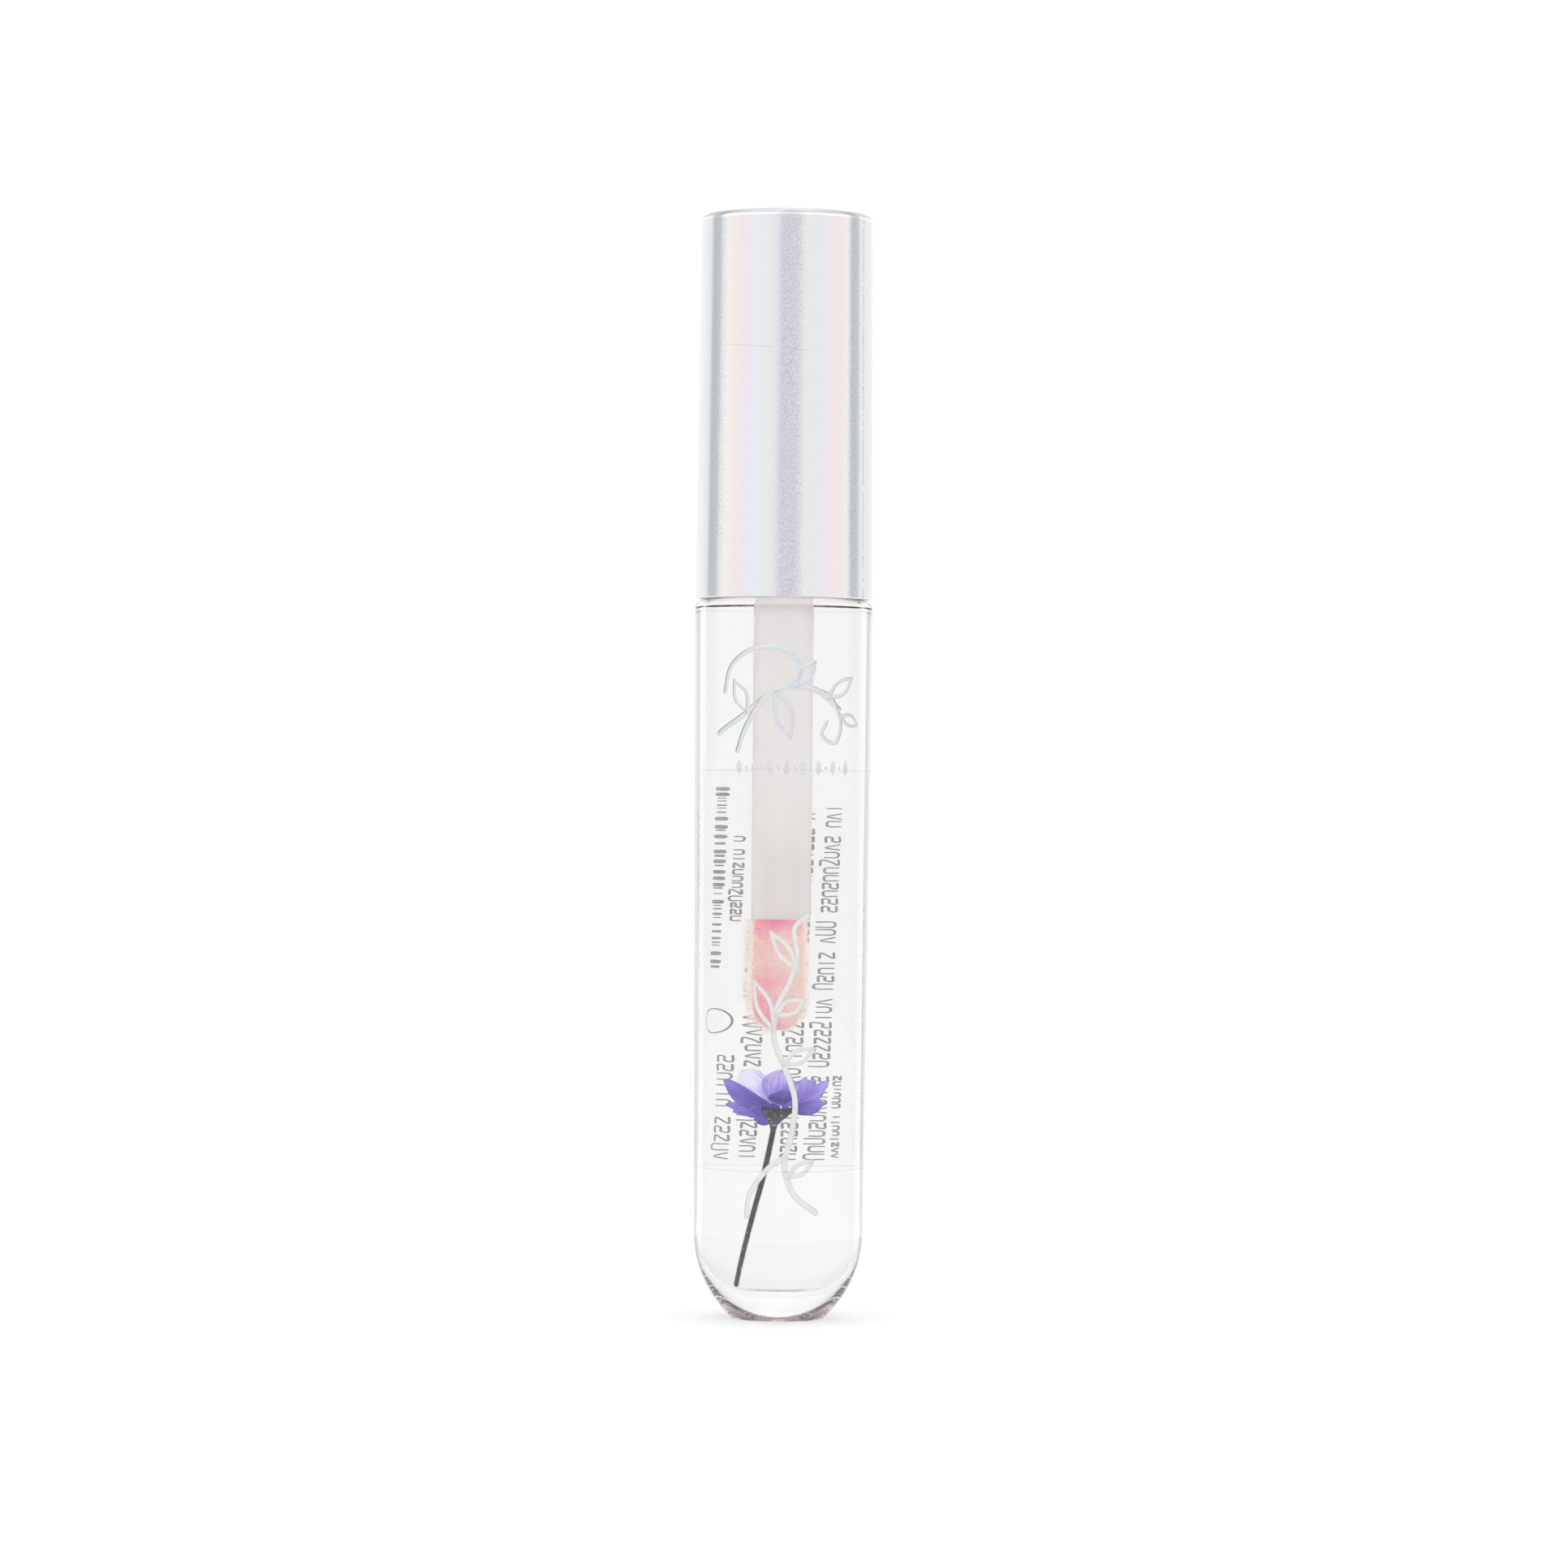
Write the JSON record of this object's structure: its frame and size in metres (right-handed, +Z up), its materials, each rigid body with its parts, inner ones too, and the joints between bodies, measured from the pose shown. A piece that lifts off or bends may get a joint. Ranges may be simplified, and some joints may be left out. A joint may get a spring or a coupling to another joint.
{
  "type": "lip gloss tube",
  "caption": "Slim clear thick-walled lip gloss tube with a tapered rounded base, a screw-on holographic silver cap and a flocked wand inside.",
  "frame": {"origin": "centre of the bottle's foot, on the surface it stands on", "axes": "+Z up along the tube from foot to cap; -Y is the printed front; +X is to the viewer's right when the front is seen"},
  "size_m": [0.016, 0.016, 0.0993],
  "materials": {
    "clear_bottle": "thick clear PETG, polished",
    "wiper_plastic": "milky natural LDPE",
    "gloss": "clear gloss with a faint milky tint",
    "label_film": "clear label film",
    "sticker_paper": "mauve coated paper",
    "washer_foam": "closed-cell PE foam",
    "cap_foil": "vacuum-coated holographic silver under clear lacquer",
    "liner_plastic": "white PP",
    "wand_plastic": "translucent white PP",
    "tip_plastic": "pink soft elastomer",
    "flock": "short upright nylon fibres wet with gloss",
    "silver_print": "pearly silver hot-stamped foil",
    "flower_print": "printed ink on clear film",
    "grey_print": "printed grey ink on clear film"
  },
  "bodies": {
    "bottle": {"bottle": "clear_bottle", "wiper": "wiper_plastic", "gloss_fill": "gloss", "wrap_label": "label_film", "base_label": "sticker_paper"},
    "washer": {"seal_washer": "washer_foam"},
    "cap": {"cap_shell": "cap_foil", "inner_cap": "liner_plastic", "stem": "wand_plastic", "applicator_core": "tip_plastic", "flock_tip": "flock"}
  },
  "joints": [
    {"name": "cap_lift", "type": "slide", "parent": "bottle", "child": "washer", "axis": [0, 0, 1], "range_m": [0, 0.057]},
    {"name": "cap_twist", "type": "hinge", "parent": "washer", "child": "cap", "pos_m": [0, 0, 0.0776], "axis": [0, 0, 1], "range_deg": [0, 6840]}
  ],
  "couplings": [
    {"joint": "cap_twist", "follows": "cap_lift", "rad_per_m": 2094.4}
  ]
}
